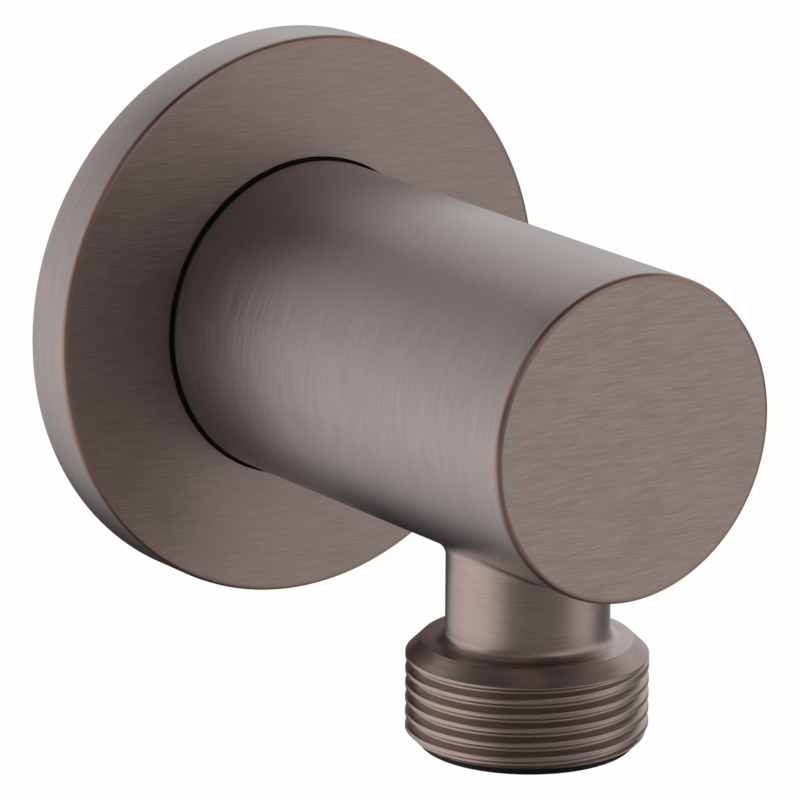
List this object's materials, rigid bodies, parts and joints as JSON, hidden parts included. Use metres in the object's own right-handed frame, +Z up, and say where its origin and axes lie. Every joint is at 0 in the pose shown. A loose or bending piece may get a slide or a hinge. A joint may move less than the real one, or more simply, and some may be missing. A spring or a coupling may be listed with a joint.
{
  "type": "wall outlet elbow",
  "caption": "Round wall outlet elbow for a shower hose: closed cylinder on a round flange, threaded outlet pointing down with a non-return valve.",
  "frame": {"origin": "where the body's axis meets the wall, in the plane of the flange's back face", "axes": "+Y into the wall along the body's axis, +Z up, the outlet points down along -Z"},
  "size_m": [0.05, 0.0686, 0.0551],
  "materials": {
    "brushed_bronze": "brushed brown-grey coating",
    "bare_brass": "turned",
    "black_rubber": "smooth",
    "stainless_steel": "drawn",
    "black_plastic": "moulded",
    "valve_plastic": "moulded"
  },
  "bodies": {
    "fitting": {"elbow_body": "brushed_bronze", "wall_flange": "brushed_bronze", "flange_ring": "black_rubber", "wall_seal": "black_rubber", "wall_nipple": "bare_brass", "nipple_ring_rear": "black_rubber", "nipple_ring_front": "black_rubber", "set_screw": "stainless_steel", "valve_housing": "black_plastic", "valve_housing_ring": "black_rubber", "valve_seat": "valve_plastic", "valve_spring": "stainless_steel"},
    "poppet": {"valve_poppet": "valve_plastic", "poppet_seal": "black_rubber"}
  },
  "joints": [
    {"name": "valve_opening", "type": "slide", "parent": "fitting", "child": "poppet", "axis": [0, 0, -1], "range_m": [0, 0.0012], "stiffness_N_per_m": 150, "springref_m": -0.004, "deforming": ["valve_spring"]}
  ]
}
